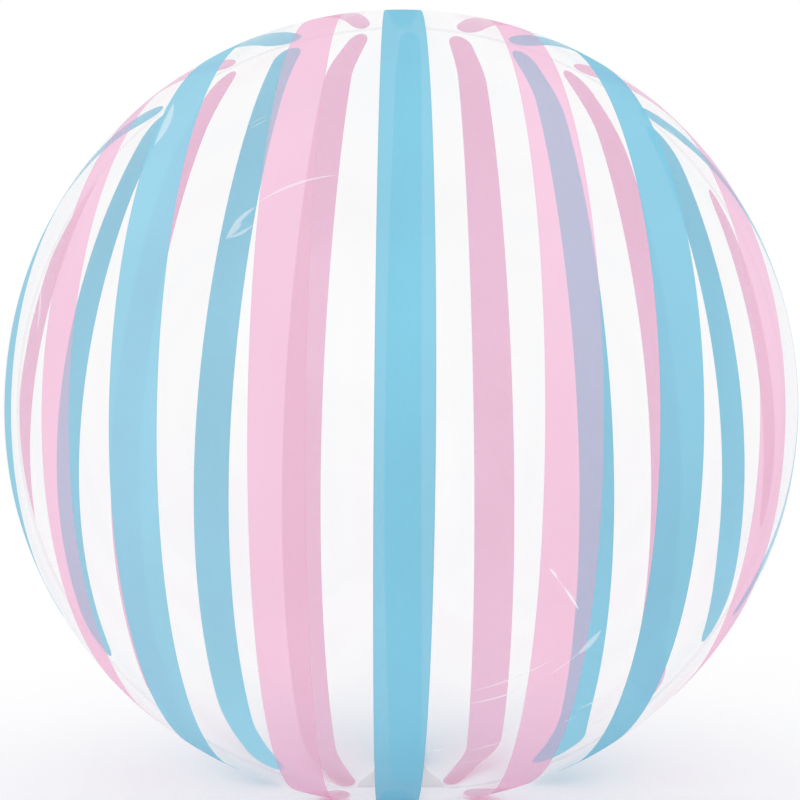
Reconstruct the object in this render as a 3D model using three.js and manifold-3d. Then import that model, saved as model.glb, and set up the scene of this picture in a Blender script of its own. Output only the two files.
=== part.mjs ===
// A clear bubble balloon: two round sheets of stretch film welded rim to rim, blown up to a ball.
// Units are millimetres, +Z is up, and the origin is the middle of the small flat that the ball sits on.
// The weld runs round the ball in the XZ plane, so one sheet faces -Y and the other +Y. At the lowest
// point the two sheets run on as a short flat inflation tail, folded back under the ball towards +Y.

import * as THREE from 'three';
import { mergeVertices } from 'three/addons/utils/BufferGeometryUtils.js';
import Module from 'manifold-3d';

const wasm = await Module();
wasm.setup();

// Driving dimensions
const ballDiameter = 460;
const restFlatDiameter = 72;
const weldFinHeight = 1.6;
const weldFinThickness = 1.2;
const tailWidth = 30;
const tailRootWidth = 52;
const tailNeckAt = 57.6;
const tailReach = 104;
const tailThickness = 0.9;
const tailCornerRadius = 5;

// How finely the round surfaces are faceted
const stepsAcrossSheet = 16;
const stepsAroundWeld = 76;
const stepsPerCurve = 6;
const mergeTolerance = 0.001;

const ballRadius = ballDiameter / 2;
const restFlatRadius = restFlatDiameter / 2;
const centreHeight = Math.sqrt(ballRadius ** 2 - restFlatRadius ** 2);

const filmMaterial = new THREE.MeshStandardMaterial({
  name: 'clear_film',
  color: 0xf4f6fb,
  roughness: 0.08,
  metalness: 0,
  transparent: true,
  opacity: 0.3,
});

// A closed mesh as a manifold solid: only positions are kept, shared corners are merged,
// and triangles with no area are left out.
function toSolid(geometry) {
  const bare = new THREE.BufferGeometry();
  bare.setAttribute('position', geometry.getAttribute('position').clone());
  bare.setIndex(geometry.index);
  const merged = mergeVertices(bare, mergeTolerance);
  const source = merged.index.array;
  const corners = [];
  for (let i = 0; i < source.length; i += 3) {
    const [a, b, c] = source.slice(i, i + 3);
    if (a !== b && b !== c && c !== a) corners.push(a, b, c);
  }
  return new wasm.Manifold(new wasm.Mesh({
    numProp: 3,
    vertProperties: new Float32Array(merged.getAttribute('position').array),
    triVerts: new Uint32Array(corners),
  }));
}

function toGeometry(solid) {
  const mesh = solid.getMesh();
  const geometry = new THREE.BufferGeometry();
  geometry.setAttribute('position', new THREE.BufferAttribute(mesh.vertProperties, 3));
  geometry.setIndex(new THREE.BufferAttribute(mesh.triVerts, 1));
  geometry.computeVertexNormals();
  return geometry;
}

// Both sheets and the weld between them, turned about the Y axis. The profile is an arc from
// the middle of one sheet to the weld, over the fin, and the same arc mirrored.
function inflatedSheets() {
  const halfFin = weldFinThickness / 2;
  const arcEnd = Math.acos(halfFin / ballRadius);
  const sheetArc = [];
  for (let i = 0; i <= stepsAcrossSheet; i++) {
    const angle = (arcEnd * i) / stepsAcrossSheet;
    const fromAxis = i === 0 ? 0 : ballRadius * Math.sin(angle);
    sheetArc.push(new THREE.Vector2(fromAxis, -ballRadius * Math.cos(angle)));
  }
  const finEdge = new THREE.Vector2(ballRadius + weldFinHeight, -halfFin);
  const half = [...sheetArc, finEdge];
  const mirrored = half.map((point) => new THREE.Vector2(point.x, -point.y)).reverse();
  return new THREE.LatheGeometry([...half, ...mirrored], stepsAroundWeld);
}

// The inflation tail in plan: it leaves the ball wide, draws in to the neck and ends square with
// rounded corners. It starts under the middle of the rest flat.
function tailOutline() {
  const corner = tailCornerRadius;
  const half = tailWidth / 2;
  const outline = new THREE.Shape();
  outline.moveTo(-tailRootWidth / 2, 0);
  outline.lineTo(tailRootWidth / 2, 0);
  outline.bezierCurveTo(tailRootWidth / 2, tailNeckAt / 2, half, tailNeckAt / 2, half, tailNeckAt);
  outline.lineTo(half, tailReach - corner);
  outline.quadraticCurveTo(half, tailReach, half - corner, tailReach);
  outline.lineTo(corner - half, tailReach);
  outline.quadraticCurveTo(-half, tailReach, -half, tailReach - corner);
  outline.lineTo(-half, tailNeckAt);
  outline.bezierCurveTo(-half, tailNeckAt / 2, -tailRootWidth / 2, tailNeckAt / 2, -tailRootWidth / 2, 0);
  return outline;
}

function foldedTail() {
  const geometry = new THREE.ExtrudeGeometry(tailOutline(), {
    depth: tailThickness,
    bevelEnabled: false,
    curveSegments: stepsPerCurve,
  });
  return geometry.translate(0, 0, -centreHeight);
}

// Everything below the height of the rest flat, to be cut away from the ball. It is wider than the ball.
function floorBlock() {
  const side = ballDiameter + 4 * weldFinHeight;
  return new THREE.BoxGeometry(side, side, side).translate(0, 0, -centreHeight - side / 2);
}

function balloonEnvelope() {
  const ball = toSolid(inflatedSheets()).subtract(toSolid(floorBlock()));
  const envelope = new THREE.Mesh(toGeometry(ball.add(toSolid(foldedTail()))), filmMaterial);
  envelope.name = 'balloon_envelope';
  envelope.position.z = centreHeight;
  return envelope;
}

const balloon = new THREE.Group();
balloon.add(balloonEnvelope());

export default balloon;
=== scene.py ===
import math

import bmesh
import bpy
import numpy as np
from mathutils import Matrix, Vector


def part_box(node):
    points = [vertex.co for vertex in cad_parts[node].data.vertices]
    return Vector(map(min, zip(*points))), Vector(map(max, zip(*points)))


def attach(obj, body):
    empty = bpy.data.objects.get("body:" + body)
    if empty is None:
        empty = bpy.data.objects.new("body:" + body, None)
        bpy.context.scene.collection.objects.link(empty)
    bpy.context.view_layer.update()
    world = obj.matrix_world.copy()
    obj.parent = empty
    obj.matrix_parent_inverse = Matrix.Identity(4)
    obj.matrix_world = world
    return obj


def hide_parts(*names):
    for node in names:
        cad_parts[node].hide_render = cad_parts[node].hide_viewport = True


# A clear bubble balloon: two round sheets of clear film, printed with pink and blue stripes, welded
# rim to rim and blown up to a ball. It rests on a small flat, with its inflation tail folded under it.

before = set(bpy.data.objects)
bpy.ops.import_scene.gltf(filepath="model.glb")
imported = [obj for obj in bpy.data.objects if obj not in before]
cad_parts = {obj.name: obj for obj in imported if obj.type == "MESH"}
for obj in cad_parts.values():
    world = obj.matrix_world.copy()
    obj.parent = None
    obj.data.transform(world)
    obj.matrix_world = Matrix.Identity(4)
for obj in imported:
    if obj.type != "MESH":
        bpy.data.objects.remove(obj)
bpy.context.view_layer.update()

mm = 0.001
low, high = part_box("balloon_envelope")
ballRadius = (high.y - low.y) / 2
weldFin = (high.x - low.x) / 2 - ballRadius
ballCentre = Vector((0, 0, high.z - weldFin - ballRadius))
restRadius = math.sqrt(ballRadius ** 2 - ballCentre.z ** 2)
sheetRadius = ballRadius * math.pi / 2      # from the middle of a sheet to the weld, along the film
print("frame loaded: ball", round(ballRadius * 2, 4), "m across, rest flat", round(restRadius * 2, 4))


# camera

camera = {
    "distance": 3.57,       # from the middle of the ball, in ball radii
    "lookUp": 2.0,          # degrees below level, so it looks up a little
    "aimAbove": 3.9 * mm,   # it aims just above the middle of the ball
    "aimLeft": 0.4 * mm,
    "lens": 61.3,
}


def makeCamera():
    tilt = math.radians(camera["lookUp"])
    reach = camera["distance"] * ballRadius
    bpy.ops.object.camera_add(location=(0, -reach * math.cos(tilt), ballCentre.z - reach * math.sin(tilt)))
    cam = bpy.context.object
    cam.name = "viewCamera"
    cam.data.lens = camera["lens"]
    target = ballCentre + Vector((-camera["aimLeft"], 0, camera["aimAbove"]))
    cam.rotation_euler = (target - cam.location).to_track_quat("-Z", "Y").to_euler()
    bpy.context.scene.camera = cam


makeCamera()
print("camera made")


# helpers for shader trees

def newMaterial(name):
    mat = bpy.data.materials.new(name)
    mat.use_nodes = True
    tree = mat.node_tree
    tree.nodes.clear()
    return mat, tree


def plug(tree, socket, value):
    # The value is another node's output, a number, or the parts of a colour or a place.
    if isinstance(value, bpy.types.NodeSocket):
        tree.links.new(value, socket)
    else:
        socket.default_value = value


def calc(tree, operation, a, b=None, c=None, clamp=False):
    node = tree.nodes.new("ShaderNodeMath")
    node.operation = operation
    node.use_clamp = clamp
    for socket, value in zip(node.inputs, (a, b, c)):
        if value is not None:
            plug(tree, socket, value)
    return node.outputs[0]


def mixColours(tree, share, first, second, kind="MIX"):
    node = tree.nodes.new("ShaderNodeMix")
    node.data_type = "RGBA"
    node.blend_type = kind
    plug(tree, node.inputs["Factor"], share)
    plug(tree, node.inputs[6], first)
    plug(tree, node.inputs[7], second)
    return node.outputs[2]


def mixNumbers(tree, share, first, second):
    node = tree.nodes.new("ShaderNodeMix")
    node.data_type = "FLOAT"
    plug(tree, node.inputs["Factor"], share)
    plug(tree, node.inputs[2], first)
    plug(tree, node.inputs[3], second)
    return node.outputs[0]


def ramp(tree, value, start, end, first=0.0, last=1.0):
    node = tree.nodes.new("ShaderNodeMapRange")
    node.interpolation_type = "SMOOTHSTEP"
    names = ("Value", "From Min", "From Max", "To Min", "To Max")
    for name, given in zip(names, (value, start, end, first, last)):
        plug(tree, node.inputs[name], given)
    return node.outputs["Result"]


def noise(tree, vector, scale, detail):
    node = tree.nodes.new("ShaderNodeTexNoise")
    plug(tree, node.inputs["Vector"], vector)
    node.inputs["Scale"].default_value = scale
    node.inputs["Detail"].default_value = detail
    return node.outputs["Fac"]


def patches(tree, vector, look, first=0.0, last=1.0):
    # soft patches that go from first to last
    value = noise(tree, vector, look["scale"], look["detail"])
    return ramp(tree, value, *look["between"], first, last)


def moved(tree, vector, location):
    node = tree.nodes.new("ShaderNodeMapping")
    plug(tree, node.inputs["Vector"], vector)
    node.inputs["Location"].default_value = location
    return node.outputs["Vector"]


def separate(tree, vector):
    node = tree.nodes.new("ShaderNodeSeparateXYZ")
    plug(tree, node.inputs[0], vector)
    return node.outputs


def bumped(tree, height, **settings):
    node = tree.nodes.new("ShaderNodeBump")
    for name, value in settings.items():
        node.inputs[name].default_value = value
    plug(tree, node.inputs["Height"], height)
    return node.outputs["Normal"]


def partlyClear(tree, surface, passes, share):
    # The surface covers that share, and the rest lets light through in the colour passes.
    clear = tree.nodes.new("ShaderNodeBsdfTransparent")
    plug(tree, clear.inputs["Color"], passes)
    mix = tree.nodes.new("ShaderNodeMixShader")
    plug(tree, mix.inputs[0], share)
    plug(tree, mix.inputs[1], clear.outputs[0])
    plug(tree, mix.inputs[2], surface.outputs[0])
    out = tree.nodes.new("ShaderNodeOutputMaterial")
    plug(tree, out.inputs["Surface"], mix.outputs[0])


def newGroup(name, inputs, outputs):
    group = bpy.data.node_groups.new(name, "ShaderNodeTree")
    for label, kind in inputs:
        group.interface.new_socket(label, in_out="INPUT", socket_type=kind)
    for label, kind in outputs:
        group.interface.new_socket(label, in_out="OUTPUT", socket_type=kind)
    start = group.nodes.new("NodeGroupInput")
    end = group.nodes.new("NodeGroupOutput")
    return group, start.outputs, end.inputs


def useGroup(tree, group, **values):
    node = tree.nodes.new("ShaderNodeGroup")
    node.node_tree = group
    for name, value in values.items():
        plug(tree, node.inputs[name], value)
    return node.outputs


# node groups

def makeStripeEndGroup():
    # Beside is 0 on a stripe's middle line and 1 at its edge. Its ends are rounded off near the weld.
    # Ink is 1 where there is ink, and Edge rises from 0 to 1 towards its outline.
    edgeStarts = 0.86
    edgeFull = 0.97
    group, given, out = newGroup(
        "stripeInk",
        [("Beside", "NodeSocketFloat"), ("FromEnd", "NodeSocketFloat"), ("EndLength", "NodeSocketFloat")],
        [("Ink", "NodeSocketFloat"), ("Edge", "NodeSocketFloat")])
    short = calc(group, "DIVIDE", given["FromEnd"], given["EndLength"], clamp=True)
    beyond = calc(group, "POWER", calc(group, "SUBTRACT", 1.0, short), 2.0)
    away = calc(group, "ADD", calc(group, "POWER", given["Beside"], 2.0), beyond)
    ink = calc(group, "LESS_THAN", away, 1.0)
    group.links.new(ink, out["Ink"])
    edge = calc(group, "MULTIPLY", ramp(group, away, edgeStarts, edgeFull), ink)
    group.links.new(edge, out["Edge"])
    return group


def makeCreaseGroup():
    # One crease: part of a circle in the sheet's plane, thickest in its middle and drawn out to
    # nothing at both ends. Place is in metres from the middle of the ball.
    softEdge = 0.6
    neverZero = 1e-6
    group, given, out = newGroup(
        "filmCrease",
        [("Place", "NodeSocketVector"), ("Centre", "NodeSocketVector"), ("Radius", "NodeSocketFloat"),
         ("Thick", "NodeSocketFloat"), ("Facing", "NodeSocketFloat"), ("Spread", "NodeSocketFloat")],
        [("Crease", "NodeSocketFloat")])
    offset = group.nodes.new("ShaderNodeVectorMath")
    offset.operation = "SUBTRACT"
    group.links.new(given["Place"], offset.inputs[0])
    group.links.new(given["Centre"], offset.inputs[1])
    parts = separate(group, offset.outputs[0])
    across = calc(group, "POWER", parts["X"], 2.0)
    upward = calc(group, "POWER", parts["Z"], 2.0)
    reach = calc(group, "SQRT", calc(group, "ADD", across, upward))
    bearing = calc(group, "ARCTAN2", parts["Z"], parts["X"])
    turned = calc(group, "WRAP", calc(group, "SUBTRACT", bearing, given["Facing"]), math.pi, -math.pi)
    along = calc(group, "DIVIDE", turned, given["Spread"])
    taper = calc(group, "SUBTRACT", 1.0, calc(group, "POWER", along, 2.0), clamp=True)
    miss = calc(group, "ABSOLUTE", calc(group, "SUBTRACT", reach, given["Radius"]))
    width = calc(group, "ADD", calc(group, "MULTIPLY", given["Thick"], taper), neverZero)
    crease = calc(group, "SUBTRACT", 1.0, calc(group, "DIVIDE", miss, width), clamp=True)
    group.links.new(ramp(group, crease, 0.0, softEdge), out["Crease"])
    return group


stripeInk = makeStripeEndGroup()
filmCrease = makeCreaseGroup()


# the film ball

filmBall = {
    "segments": 384,
    "rings": 128,
    "weldFoot": 0.45 * mm,      # half the width of the weld where it leaves the ball
    "weldEdge": 0.12 * mm,      # half its thickness at its outer edge
    "weldBevel": 3,
    "weldAxis": 0.001 * mm,     # points closer than this to the plane of the weld lie on it
    "finZone": 0.8,             # of weldFoot: what lies closer to that plane becomes the fin's edge
    "finFaces": 1.5,            # of weldFoot: faces within this are the fin
    "creaseMargin": 4,          # millimetres round a crease that get the creased film
    "puckers": 46,              # round the ball, as for the two below
    "wander": 7,                # how often they stray from even spacing
    "reachWaves": 5,            # how often they run out further
    "finePuckers": {1: 69, -1: 68},     # finer ones on the back sheet and on the front
    "puckerHeight": 0.132 * mm,
    "fineHeight": 0.6,          # as a share of that
    "wanderBy": 1.3,            # in radians of a pucker
    "puckerReach": 18 * mm,     # how far they run out from the weld
    "reachVaries": 6 * mm,
    "puckersFull": 3 * mm,      # from the weld to where they have risen
    "restBlend": 1.2 * mm,      # how gently the film turns into the flat that it rests on
    "restZone": 24 * mm,        # only film lower than this can touch it
    "smoothBelow": math.radians(40),
}

# How each printed sheet stretched when the ball was blown up. A point's place across and up the
# ball, as shares of the sheet's radius, gives where it lay across the flat sheet. Each stripe is
# (colour, place across the flat sheet, width, pull of its top end, pull of its foot, bare film left
# at its top end, bare film left at its foot), in millimetres. The pulls are how far the gathers at
# the weld draw its ends towards the middle.
stripeColumns = {"place": 1, "topPull": 3, "footPull": 4, "topBare": 5, "footBare": 6}
upperBlend = 0.2            # how far above and below the middle the top ends give way to the feet
frontSheet = {
    "spreadUp": 0.062,
    "spreadOut": -0.041,
    "lean": -0.007,
    "bow": 0.011,
    "gathered": (0.26, 0.20),   # the share of the sheet's radius that is drawn in, at the top and foot
    "stripes": [
        ("blue", -266, 26, -38, -31, 5, 47),
        ("pink", -190, 27, -31, -26, 5, 45),
        ("blue", -130.5, 30, -23, -20, 5, 45),
        ("pink", -55, 27, -31, -15, 5, 10),
        ("blue", 2, 27, 0, 0, 5, 5),
        ("pink", 79, 29, 20, 17, 5, 10),
        ("blue", 139.5, 29, 36, 19, 5, 45),
        ("pink", 223, 38, 72, 26, 5, 45),
        ("blue", 305, 28, 61, 34, 5, 20),
    ],
}
backSheet = {
    "spreadUp": 0.13,
    "spreadOut": 0.218,
    "lean": -0.007,
    "bow": -0.02,
    "gathered": (0.18, 0.18),
    "stripes": [
        ("pink", -350, 24, 0, 0, -20, -20),
        ("blue", -285, 27, -3, -3, 5, 0),
        ("pink", -224, 28, -10, 3, 5, 2),
        ("blue", -148, 29, 1, -15, 5, 4),
        ("pink", -76, 30, -20, -22, 5, 3),
        ("blue", 2, 28, 0, 0, 5, 5),
        ("pink", 72, 31, 10, 45, 5, 6),
        ("blue", 154, 29, 16, 4, 5, 6),
        ("pink", 215, 28, 17, -26, 5, 2),
        ("blue", 285, 27, -3, -4, 5, 0),
        ("pink", 335, 20, 0, 0, 2, 5),
    ],
}


def softStep(share):
    # from 0 to 1 with a soft start and a soft end
    share = np.clip(share, 0, 1)
    return share * share * (3 - 2 * share)


def upperShare(up):
    # 0 on the lower half of the ball and 1 on the upper, with a soft change between
    return softStep((up + upperBlend) / (2 * upperBlend))


def alongStripes(sheet, flat, up, topColumn, footColumn):
    # a quantity given for each stripe's top end and foot, evened out between the stripes
    names = ("place", topColumn, footColumn)
    places, tops, feet = ([stripe[stripeColumns[n]] * mm for stripe in sheet["stripes"]] for n in names)
    top = np.interp(flat, places, tops)
    foot = np.interp(flat, places, feet)
    return foot + (top - foot) * upperShare(up)


def placeOnFlatSheet(sheet, across, up, out):
    # Across, up and out are shares of the sheet's radius. Answers in metres: the place across the
    # flat sheet, and the distance from the line where the ink ends.
    flat = across * (1 + sheet["spreadUp"] * up + sheet["spreadOut"] * up ** 2)
    flat = (flat + sheet["lean"] * up + sheet["bow"] * up ** 2) * sheetRadius
    topZone, footZone = sheet["gathered"]
    zone = footZone + (topZone - footZone) * upperShare(up)
    drawnIn = softStep((out - 1 + zone) / zone)
    flat = flat + alongStripes(sheet, flat, up, "topPull", "footPull") * drawnIn
    return flat, (1 - out) * sheetRadius - alongStripes(sheet, flat, up, "topBare", "footBare")


# Creases in the front sheet, drawn whiter as painted highlights of the light they catch: start across
# and up, end across and up, how far it bows to the left of that line, half its thickness, and
# strength. In millimetres from the middle of the ball.
creases = [
    (-65, 86, -29, 98, 2.5, 0.7, 0.6),
    (-79, 69.5, -66, 84, 1.5, 1.3, 0.55),
    (-79.5, 69, -72, 76.5, 0.3, 1.5, 0.5),
    (-79, 69.5, -66.5, 75.5, -1.0, 0.9, 0.5),
    (-122.5, 124, -116.5, 151, -1.6, 2.7, 0.55),
    (-73, 125, -61, 131, 0.5, 0.3, 0.3),
    (-72, 128, -63, 133, 0.4, 0.3, 0.3),
    (67, -80, 71, -85, 0.2, 0.7, 1.0),
    (67, -80, 82, -100.5, 0.3, 0.3, 0.5),
    (74, -89, 82, -100.5, 0.3, 0.8, 1.0),
    (94, -111, 83, -123, 0.6, 1.7, 0.6),
    (85, -121, 70, -132.5, 0.5, 0.35, 0.5),
    (32, -139.5, 71, -124.5, -1.6, 0.55, 0.6),
    (32, -146, 60, -138, -1.0, 0.5, 0.8),
    (86, -154, 110, -141.5, -0.8, 0.5, 0.7),
    (80, -160.5, 88, -157.5, -0.3, 0.4, 0.5),
    (95, -165.5, 105, -160.5, -0.3, 0.4, 0.5),
    (32, -174.5, 55, -167, -0.7, 0.4, 0.5),
    (40, -171.8, 46, -170.3, -0.2, 0.4, 0.5),
    (13, -173.2, 20.5, -172.4, -0.2, 0.7, 0.9),
    (28, -182.5, 49, -178, -0.5, 0.35, 0.35),
    (137, 141, 152, 127, 1.0, 0.6, 0.7),
    (141, 134, 149, 127, 0.5, 0.5, 0.6),
    (-187, 66, -184, 32, 2.0, 0.8, 0.6),
    (-181, 78, -190, 50, 1.5, 0.6, 0.5),
]


def isCreased(place):
    # whether any crease comes near that place on the front sheet
    for x1, z1, x2, z2, bow, thick, _ in creases:
        reach = math.hypot(x2 - x1, z2 - z1) / 2 + thick + abs(bow) + filmBall["creaseMargin"]
        if math.hypot(place.x / mm - (x1 + x2) / 2, place.z / mm - (z1 + z2) / 2) < reach:
            return True
    return False


def addWeldFin(ball):
    # The ring where the two sheets meet is split into a low fin, the welded edges of the film.
    bpy.ops.object.mode_set(mode="EDIT")
    mesh = bmesh.from_edit_mesh(ball.data)
    for edge in mesh.edges:
        edge.select = all(abs(vert.co.y) < filmBall["weldAxis"] for vert in edge.verts)
    mesh.select_flush_mode()
    bmesh.update_edit_mesh(ball.data)
    bpy.ops.mesh.bevel(
        offset=filmBall["weldFoot"], segments=filmBall["weldBevel"], affect="EDGES", clamp_overlap=False)
    mesh = bmesh.from_edit_mesh(ball.data)
    for vert in mesh.verts:
        beside = vert.co.y
        if abs(beside) < filmBall["weldFoot"] * filmBall["finZone"]:
            out = Vector((vert.co.x, 0, vert.co.z - ballCentre.z)).normalized()
            vert.co = ballCentre + out * (ballRadius + weldFin)
            vert.co.y = math.copysign(filmBall["weldEdge"], beside)
    bmesh.update_edit_mesh(ball.data)
    bpy.ops.object.mode_set(mode="OBJECT")


def makeFilmBall():
    bpy.ops.object.select_all(action="DESELECT")
    bpy.ops.mesh.primitive_uv_sphere_add(
        segments=filmBall["segments"], ring_count=filmBall["rings"], radius=ballRadius,
        location=ballCentre, rotation=(math.pi / 2, 0, 0))
    ball = bpy.context.object
    ball.name = "balloon_film"
    ball.data.name = "balloon_film"
    bpy.ops.object.transform_apply(location=True, rotation=True, scale=True)
    bpy.ops.object.mode_set(mode="EDIT")
    bpy.ops.mesh.select_all(action="SELECT")
    bpy.ops.mesh.normals_make_consistent(inside=False)
    bpy.ops.mesh.select_all(action="DESELECT")
    bpy.ops.object.mode_set(mode="OBJECT")
    addWeldFin(ball)
    return ball


def sheetPlaces(points):
    # where points of the ball lie on their sheet: across, up and out as shares of the sheet's radius
    towards = (points - np.array(ballCentre)) / ballRadius
    out = np.arccos(np.clip(np.abs(towards[:, 1]), 0, 1)) / (math.pi / 2)
    level = np.maximum(np.hypot(towards[:, 0], towards[:, 2]), 1e-9)
    return towards[:, 0] / level * out, towards[:, 2] / level * out, out


def printOntoFilm(ball):
    # UV map flatSheet holds both answers of placeOnFlatSheet. Faces are numbered by their film: the
    # front sheet is 0, the back sheet 1, the weld fin 2 and the creased parts of the front sheet 3.
    mesh = ball.data
    points = np.empty(len(mesh.vertices) * 3)
    mesh.vertices.foreach_get("co", points)
    points = points.reshape(-1, 3)
    across, up, out = sheetPlaces(points)
    onSheet = [placeOnFlatSheet(sheet, across, up, out) for sheet in (frontSheet, backSheet)]
    layer = mesh.uv_layers.new(name="flatSheet")
    values = np.empty((len(mesh.loops), 2))
    for face in mesh.polygons:
        beside = max(abs(points[v][1]) for v in face.vertices)
        onFin = beside < filmBall["weldFoot"] * filmBall["finFaces"]
        onBack = face.center.y > 0
        face.material_index = 2 if onFin else int(onBack)
        if not onBack and not onFin and isCreased(face.center - ballCentre):
            face.material_index = 3
        for loop in face.loop_indices:
            vertex = mesh.loops[loop].vertex_index
            values[loop] = [part[vertex] for part in onSheet[int(onBack)]]
    layer.data.foreach_set("uv", values.ravel())


def puckerFilm(ball):
    # Small gathers run out from the weld, and the film under the ball lies down on the floor.
    blend = filmBall["restBlend"]
    for vert in ball.data.vertices:
        away = vert.co - ballCentre
        toWeld = math.asin(min(abs(away.y) / ballRadius, 1)) * ballRadius
        turn = math.atan2(away.x, away.z)
        side = 1 if away.y > 0 else -1
        further = math.sin(filmBall["reachWaves"] * turn + side)
        reach = filmBall["puckerReach"] + filmBall["reachVaries"] * further
        fade = max(1 - toWeld / reach, 0) ** 2 * min(toWeld / filmBall["puckersFull"], 1)
        stray = filmBall["wanderBy"] * math.sin(filmBall["wander"] * turn)
        wave = math.sin(filmBall["puckers"] * turn + stray + side)
        wave += filmBall["fineHeight"] * math.sin(filmBall["finePuckers"][side] * turn + 2 * side)
        vert.co += away.normalized() * (filmBall["puckerHeight"] * fade * wave)
        if vert.co.z < filmBall["restZone"]:
            rest = heightOverTail(vert.co.x, vert.co.y)
            above = vert.co.z - rest
            vert.co.z = rest + (above + math.sqrt(above ** 2 + blend ** 2)) / 2


# shape of the tail

tail = {
    "rootWidth": 52 * mm,       # where it leaves the weld under the ball
    "width": 30 * mm,
    "narrowBy": 57.6 * mm,      # how far out it has come down to its width
    "reach": 104 * mm,
    "cornerRadius": 5 * mm,
    "sealWidth": 4 * mm,        # the two long edges are sealed flat
    "sealThick": 0.3 * mm,
    "thick": 0.75 * mm,
    "valveWidth": 15 * mm,
    "swellsOver": 3 * mm,       # from the seals to where it is at its fullest
    "leastSwell": 0.7,
    "waveAlong": 9 * mm,        # its swelling varies in waves, which wander across it
    "waveAcross": 7 * mm,
    "waveWander": 2,
    "stepsAcross": 30,
    "stepsAlong": 104,
    "filmGap": 0.1 * mm,        # between it and the film that rests on it
    "liftsBeside": 3 * mm,      # how far beside it that film is still lifted
    "liftsBefore": 1 * mm,
    "liftsOver": 4 * mm,        # how gently that film comes down to the floor
}


def tailHalfWidth(along):
    narrowing = softStep(along / tail["narrowBy"])
    half = (tail["rootWidth"] + (tail["width"] - tail["rootWidth"]) * narrowing) / 2
    intoCorner = along - (tail["reach"] - tail["cornerRadius"])
    if intoCorner > 0:
        half -= tail["cornerRadius"] - math.sqrt(max(tail["cornerRadius"] ** 2 - intoCorner ** 2, 0))
    return half


def heightOverTail(x, y):
    # how far the tail lifts the film that rests on it
    beside = (tailHalfWidth(y) + tail["liftsBeside"] - abs(x)) / tail["liftsOver"]
    started = (y + tail["liftsBefore"]) / tail["liftsOver"]
    return (tail["thick"] + tail["filmGap"]) * min(max(beside, 0), 1) * min(max(started, 0), 1)


balloonFilm = makeFilmBall()
printOntoFilm(balloonFilm)
puckerFilm(balloonFilm)
bpy.ops.object.shade_smooth_by_angle(angle=filmBall["smoothBelow"])
print("film ball made:", len(balloonFilm.data.polygons), "faces")


# film and ink

film = {
    "passes": (0.983, 0.982, 0.984),       # what one layer of clear film lets through
    "mirrorHeadOn": 0.06,                   # both faces of the film together
    "mirrorGrazing": 0.45,
    "mirrorBlend": 0.5,
    "mirrorPower": 5.0,
    "mirrorTint": (0.955, 0.945, 0.955, 1),
    "roughness": 0.16,
    "wrinkleScale": 22,
    "wrinkleDetail": 2,
    "wrinkleHeight": 0.4 * mm,
    "wrinkleStrength": 0.5,
    # painted shade: a faint lilac tint in the lower half, in place of the floor's tinted shade seen through
    # the film
    "lowerShadePasses": (0.968, 0.955, 0.972, 1),
    "clouds": {"scale": 11, "detail": 3, "between": (0.3, 0.7)},
    "shadeCloudsUnder": (10 * mm, -70 * mm),      # the clouds come in between these heights from the middle
    "shadeCloudsOver": (-165 * mm, -110 * mm),    # and stay clear of what is lower than these
    # painted highlight: how far the creases turn white and opaque, and in what colour
    "creaseHighlightShare": 0.7,
    "creaseHighlightColour": (0.94, 0.95, 0.97, 1),
    "creaseSpread": 1.2,                    # how much wider a crease is drawn than it is listed
    "endLength": 14 * mm,                   # over which the end of a stripe is rounded off
    "uneven": {"scale": 7, "detail": 4, "between": (0.25, 0.75)},
    "unevenBrightness": (0.93, 1.04),
    "darkEdge": 0.96,
    "paleInk": (0.9, 0.95, 0.97, 1),        # the ink is paler towards the left, mixed a little towards this
    "paleShare": 0.08,                      # by this much
    "paleFrom": (-20 * mm, -120 * mm),      # between these places, and further left
}
inks = {
    # The ink's colour seen from outside, and from inside, where it is painted light and shade set for
    # how light falls inside the ball, and how much it covers. Only the pink tints the light that passes
    # through it.
    "blue": {"outer": (0.226, 0.573, 0.742, 1), "innerPaintedShading": (0.226, 0.693, 0.848, 1), "cover": 0.93},
    "pink": {"outer": (0.84, 0.90, 0.985, 1), "innerPaintedShading": (0.757, 0.883, 0.927, 1), "cover": 0.44,
             "passes": (1, 0.36, 0.58, 1)},
}


def creaseCircle(x1, z1, x2, z2, bow):
    # the circle through both ends, bowed by that much, as the crease group wants it
    start, end = Vector((x1, 0, z1)) * mm, Vector((x2, 0, z2)) * mm
    chord = end - start
    left = Vector((-chord.z, 0, chord.x)).normalized() * (1 if bow > 0 else -1)
    depth = abs(bow) * mm
    radius = (chord.length ** 2 / 4 + depth ** 2) / (2 * depth)
    centre = (start + end) / 2 - left * (radius - depth)
    spread = math.asin(min(chord.length / 2 / radius, 1))
    return centre, radius, math.atan2(left.z, left.x), spread


def creaseMask(tree, fromCentre):
    strongest = None
    for *ends, bow, thick, strength in creases:
        centre, radius, facing, spread = creaseCircle(*ends, bow)
        out = useGroup(tree, filmCrease, Place=fromCentre, Centre=centre, Radius=radius,
                       Thick=thick * film["creaseSpread"] * mm, Facing=facing, Spread=spread)
        crease = calc(tree, "MULTIPLY", out["Crease"], strength)
        strongest = crease if strongest is None else calc(tree, "MAXIMUM", strongest, crease)
    return strongest


def besideStripes(tree, across, sheet, colour):
    # 0 on the middle line of the nearest stripe of that colour, and 1 at its edge
    nearest = None
    for kind, place, width, *_ in sheet["stripes"]:
        if kind == colour:
            half = width * mm / 2
            offset = calc(tree, "MULTIPLY_ADD", across, 1 / half, -place * mm / half)
            beside = calc(tree, "ABSOLUTE", offset)
            nearest = beside if nearest is None else calc(tree, "MINIMUM", nearest, beside)
    return nearest


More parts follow.
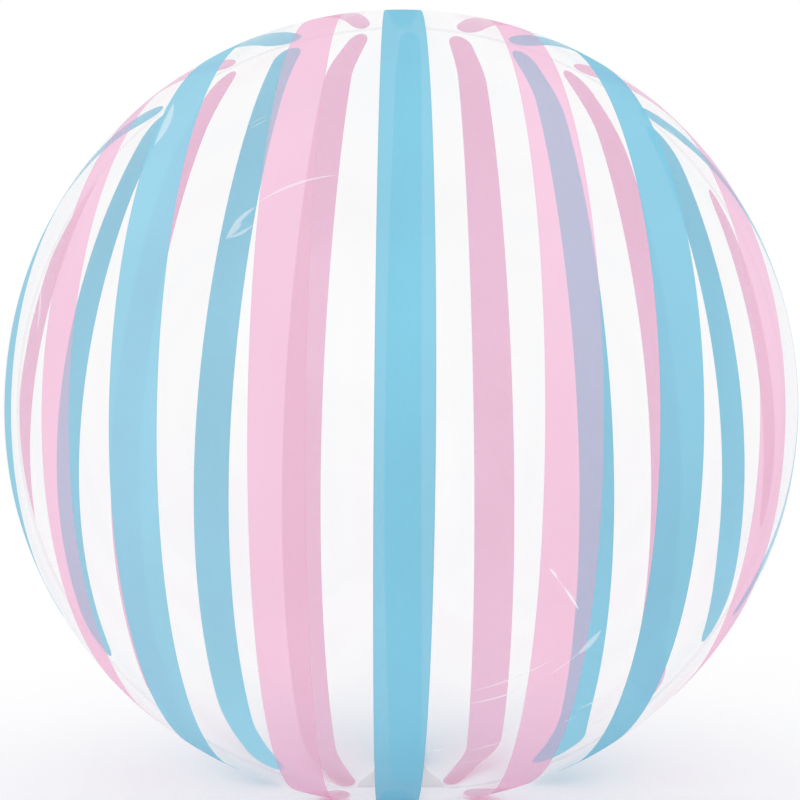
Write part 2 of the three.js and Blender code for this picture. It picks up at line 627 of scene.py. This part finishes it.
def printedInk(tree, flat, sheet):
    # where there is ink of each colour, and how near the outline of a stripe it is
    ink, edge = {}, {}
    for colour in inks:
        beside = besideStripes(tree, flat["X"], sheet, colour)
        out = useGroup(tree, stripeInk, Beside=beside, FromEnd=flat["Y"], EndLength=film["endLength"])
        ink[colour], edge[colour] = out["Ink"], out["Edge"]
    return ink, calc(tree, "MAXIMUM", edge["blue"], edge["pink"])


def inkColours(tree, flat, fromCentre, ink, edges):
    # Inside faces show the ink's inner colour, painted light and shade for the inside of the ball, and the
    # ink is never quite even.
    inside = tree.nodes.new("ShaderNodeNewGeometry").outputs["Backfacing"]
    sides = [mixColours(tree, inside, inks[c]["outer"], inks[c]["innerPaintedShading"]) for c in ("pink", "blue")]
    colour = mixColours(tree, ink["blue"], *sides)
    uneven = patches(tree, fromCentre, film["uneven"], *film["unevenBrightness"])
    darker = calc(tree, "MULTIPLY", uneven, ramp(tree, edges, 0, 1, 1.0, film["darkEdge"]))
    colour = mixColours(tree, 1.0, colour, darker, "MULTIPLY")
    pale = ramp(tree, flat["X"], *film["paleFrom"], 0, film["paleShare"])
    return mixColours(tree, pale, colour, film["paleInk"])


def mirrorShare(tree):
    # Clear film is a mirror that is mostly open, and open least where it is seen at a slant.
    facing = tree.nodes.new("ShaderNodeLayerWeight")
    facing.inputs["Blend"].default_value = film["mirrorBlend"]
    slant = calc(tree, "POWER", facing.outputs["Facing"], film["mirrorPower"])
    rise = film["mirrorGrazing"] - film["mirrorHeadOn"]
    return calc(tree, "MULTIPLY_ADD", slant, rise, film["mirrorHeadOn"])


def clearPassesWithShade(tree, fromCentre):
    # The lower half has faint lilac clouds: painted shade that stands in for the tinted shade of the floor
    # seen through the film.
    height = separate(tree, fromCentre)["Z"]
    lower = ramp(tree, height, *film["shadeCloudsUnder"])
    lower = calc(tree, "MULTIPLY", lower, ramp(tree, height, *film["shadeCloudsOver"]))
    cloudyShade = calc(tree, "MULTIPLY", lower, patches(tree, fromCentre, film["clouds"]))
    return mixColours(tree, cloudyShade, (*film["passes"], 1), film["lowerShadePasses"])


def makePrintedFilm(name, sheet, creased):
    mat, tree = newMaterial(name)
    uv = tree.nodes.new("ShaderNodeUVMap")
    uv.uv_map = "flatSheet"
    flat = separate(tree, uv.outputs[0])
    place = tree.nodes.new("ShaderNodeTexCoord").outputs["Object"]
    fromCentre = moved(tree, place, -ballCentre)

    ink, edges = printedInk(tree, flat, sheet)
    printed = calc(tree, "MAXIMUM", ink["blue"], ink["pink"])
    cover = mixNumbers(tree, ink["blue"], inks["pink"]["cover"], inks["blue"]["cover"])
    share = mixNumbers(tree, printed, mirrorShare(tree), cover)
    metal = calc(tree, "SUBTRACT", 1.0, printed)
    inkColour = inkColours(tree, flat, fromCentre, ink, edges)
    colour = mixColours(tree, printed, film["mirrorTint"], inkColour)
    passes = mixColours(tree, ink["pink"], clearPassesWithShade(tree, fromCentre), inks["pink"]["passes"])
    # painted highlight: the creases are drawn whiter and more covering
    if creased:
        crease = calc(tree, "MULTIPLY", creaseMask(tree, fromCentre), film["creaseHighlightShare"])
        share = mixNumbers(tree, crease, share, 1.0)
        colour = mixColours(tree, crease, colour, film["creaseHighlightColour"])
        metal = calc(tree, "MULTIPLY", metal, calc(tree, "SUBTRACT", 1.0, crease))

    surface = tree.nodes.new("ShaderNodeBsdfPrincipled")
    plug(tree, surface.inputs["Base Color"], colour)
    plug(tree, surface.inputs["Metallic"], metal)
    surface.inputs["Roughness"].default_value = film["roughness"]
    surface.inputs["Specular IOR Level"].default_value = 0
    wrinkles = noise(tree, fromCentre, film["wrinkleScale"], film["wrinkleDetail"])
    normal = bumped(tree, wrinkles, Distance=film["wrinkleHeight"], Strength=film["wrinkleStrength"])
    plug(tree, surface.inputs["Normal"], normal)
    partlyClear(tree, surface, passes, share)
    return mat


weldFilm = {
    "colour": (0.9, 0.9, 0.92, 1),
    "roughness": 0.12,
    "passes": (0.96, 0.96, 0.965, 1),
    "coverHeadOn": 0.07,
    "coverGrazingMore": 0.3,
    "slantPower": 3.0,
}


def makeBareFilm(name):
    # unprinted film where two layers are welded together: a little cloudier than one layer
    mat, tree = newMaterial(name)
    surface = tree.nodes.new("ShaderNodeBsdfPrincipled")
    surface.inputs["Base Color"].default_value = weldFilm["colour"]
    surface.inputs["Roughness"].default_value = weldFilm["roughness"]
    facing = tree.nodes.new("ShaderNodeLayerWeight")
    slant = calc(tree, "POWER", facing.outputs["Facing"], weldFilm["slantPower"])
    share = calc(tree, "MULTIPLY_ADD", slant, weldFilm["coverGrazingMore"], weldFilm["coverHeadOn"])
    partlyClear(tree, surface, weldFilm["passes"], share)
    return mat


for made in (makePrintedFilm("frontFilm", frontSheet, False), makePrintedFilm("backFilm", backSheet, False),
             makeBareFilm("weldFilm"), makePrintedFilm("creasedFilm", frontSheet, True)):
    balloonFilm.data.materials.append(made)
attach(balloonFilm, "root")
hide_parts("balloon_envelope")
print("film printed")


# the inflation tail

def makeTail():
    bpy.ops.object.select_all(action="DESELECT")
    bpy.ops.mesh.primitive_grid_add(
        x_subdivisions=tail["stepsAcross"], y_subdivisions=tail["stepsAlong"], size=1, location=(0, 0, 0))
    neck = bpy.context.object
    neck.name = "inflation_tail"
    neck.data.name = "inflation_tail"
    for vert in neck.data.vertices:
        along = (vert.co.y + 0.5) * tail["reach"]
        vert.co.x *= 2 * tailHalfWidth(along)
        vert.co.y = along
    solid = neck.modifiers.new("twoSheets", "SOLIDIFY")
    solid.thickness = tail["sealThick"]
    solid.offset = 1
    bpy.ops.object.modifier_apply(modifier=solid.name)
    for vert in neck.data.vertices:
        if vert.co.z > tail["sealThick"] / 2:
            inFromEdge = tailHalfWidth(vert.co.y) - abs(vert.co.x)
            inFromEdge = min(inFromEdge, tail["reach"] + tail["sealWidth"] - vert.co.y)
            full = softStep((inFromEdge - tail["sealWidth"]) / tail["swellsOver"])
            stray = tail["waveWander"] * math.sin(vert.co.x / tail["waveAcross"])
            sway = (1 + math.sin(vert.co.y / tail["waveAlong"] + stray)) / 2
            swell = tail["leastSwell"] + (1 - tail["leastSwell"]) * sway
            vert.co.z += (tail["thick"] - tail["sealThick"]) * full * swell
    return neck


tailFilm = {
    "colour": (0.92, 0.92, 0.94, 1),
    "roughness": 0.1,
    "passes": (0.992, 0.992, 0.993, 1),
    "cover": 0.03,
    "valveColour": (0.93, 0.93, 0.925, 1),
    "valveRoughness": 0.45,
    "valveSoft": 0.4 * mm,          # how softly the valve strip ends at its sides
    "valveClouds": {"scale": 60, "detail": 4, "between": (0.2, 0.8)},
    "valveCover": (0.20, 0.30),
    "valveEdge": (2 * mm, 1.4 * mm),    # its milkier edge comes in between these, inwards from its side
    "valveEdgeCover": 0.2,
    "sealSoft": 0.3 * mm,
    "sealCover": 0.06,
    "ribPitch": 1.2 * mm,
    "ribHeight": 0.08 * mm,
}


def makeTailFilm():
    # clear film, a milky valve strip along its middle, and heat seals down both edges
    mat, tree = newMaterial("tailFilm")
    place = tree.nodes.new("ShaderNodeTexCoord").outputs["Object"]
    parts = separate(tree, place)
    beside = calc(tree, "ABSOLUTE", parts["X"])
    valveSide = tail["valveWidth"] / 2
    valve = ramp(tree, beside, valveSide, valveSide - tailFilm["valveSoft"])
    edgeStart, edgeEnd = (valveSide - inwards for inwards in tailFilm["valveEdge"])
    valveEdge = calc(tree, "MULTIPLY", valve, ramp(tree, beside, edgeStart, edgeEnd))
    sealSide = tail["width"] / 2 - tail["sealWidth"]
    seal = ramp(tree, beside, sealSide - tailFilm["sealSoft"], sealSide)
    ribs = calc(tree, "SINE", calc(tree, "MULTIPLY", parts["Y"], 2 * math.pi / tailFilm["ribPitch"]))
    ribs = calc(tree, "MULTIPLY", ribs, seal)
    clouds = patches(tree, place, tailFilm["valveClouds"], *tailFilm["valveCover"])
    share = calc(tree, "MULTIPLY", valve, clouds)
    share = calc(tree, "ADD", share, calc(tree, "MULTIPLY", valveEdge, tailFilm["valveEdgeCover"]))
    share = calc(tree, "ADD", share, calc(tree, "MULTIPLY", seal, tailFilm["sealCover"]))
    share = calc(tree, "ADD", share, tailFilm["cover"], clamp=True)

    surface = tree.nodes.new("ShaderNodeBsdfPrincipled")
    colour = mixColours(tree, valve, tailFilm["colour"], tailFilm["valveColour"])
    plug(tree, surface.inputs["Base Color"], colour)
    roughness = mixNumbers(tree, valve, tailFilm["roughness"], tailFilm["valveRoughness"])
    plug(tree, surface.inputs["Roughness"], roughness)
    plug(tree, surface.inputs["Normal"], bumped(tree, ribs, Distance=tailFilm["ribHeight"]))
    partlyClear(tree, surface, tailFilm["passes"], share)
    return mat


inflationTail = makeTail()
inflationTail.data.materials.append(makeTailFilm())
bpy.ops.object.shade_smooth_by_angle(angle=filmBall["smoothBelow"])
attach(inflationTail, "root")
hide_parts("balloon_envelope")
print("inflation tail made")


# floor and light

studio = {
    "floorSide": 40.0,
    "floorGap": 0.2 * mm,
    "floorColour": (0.97, 0.97, 0.97, 1),
    "floorRoughness": 0.9,
    "worldStrength": 1.0,
    "sunHeight": 3.0,
    "sunSpread": math.radians(60),
    "softboxPlace": (-0.55, -1.85, 0.95),
    "softboxSize": (2.0, 1.3),
    "softboxBrightness": 0.35,
}


def makeFloor():
    bpy.ops.object.select_all(action="DESELECT")
    # a hair below the film, so that film and floor never share a plane
    bpy.ops.mesh.primitive_plane_add(size=studio["floorSide"], location=(0, 0, -studio["floorGap"]))
    floor = bpy.context.object
    floor.name = "paleFloor"
    mat, tree = newMaterial("paleFloor")
    surface = tree.nodes.new("ShaderNodeBsdfPrincipled")
    surface.inputs["Base Color"].default_value = studio["floorColour"]
    surface.inputs["Roughness"].default_value = studio["floorRoughness"]
    out = tree.nodes.new("ShaderNodeOutputMaterial")
    plug(tree, out.inputs["Surface"], surface.outputs[0])
    floor.data.materials.append(mat)


def makeSoftbox():
    width, height = studio["softboxSize"]
    bpy.ops.object.light_add(type="AREA", location=studio["softboxPlace"])
    box = bpy.context.object
    box.name = "frontWindow"
    box.data.shape = "RECTANGLE"
    box.data.size = width
    box.data.size_y = height
    box.data.energy = studio["softboxBrightness"] * math.pi * width * height
    towards = ballCentre - Vector(studio["softboxPlace"])
    box.rotation_euler = towards.to_track_quat("-Z", "Y").to_euler()


def makeWorld():
    world = bpy.data.worlds.new("whiteStudio")
    world.use_nodes = True
    background = world.node_tree.nodes["Background"]
    background.inputs["Color"].default_value = (1, 1, 1, 1)
    background.inputs["Strength"].default_value = studio["worldStrength"]
    bpy.context.scene.world = world


def makeSun():
    # just strong enough that the far floor is as bright as the white around it
    bpy.ops.object.light_add(type="SUN", location=(0, 0, studio["sunHeight"]))
    sun = bpy.context.object
    sun.name = "overheadLight"
    sun.data.energy = (1 / studio["floorColour"][0] - 1) * math.pi
    sun.data.angle = studio["sunSpread"]


makeFloor()
makeWorld()
makeSun()
makeSoftbox()
bpy.context.scene.view_settings.view_transform = "Standard"
print("floor and lights made")
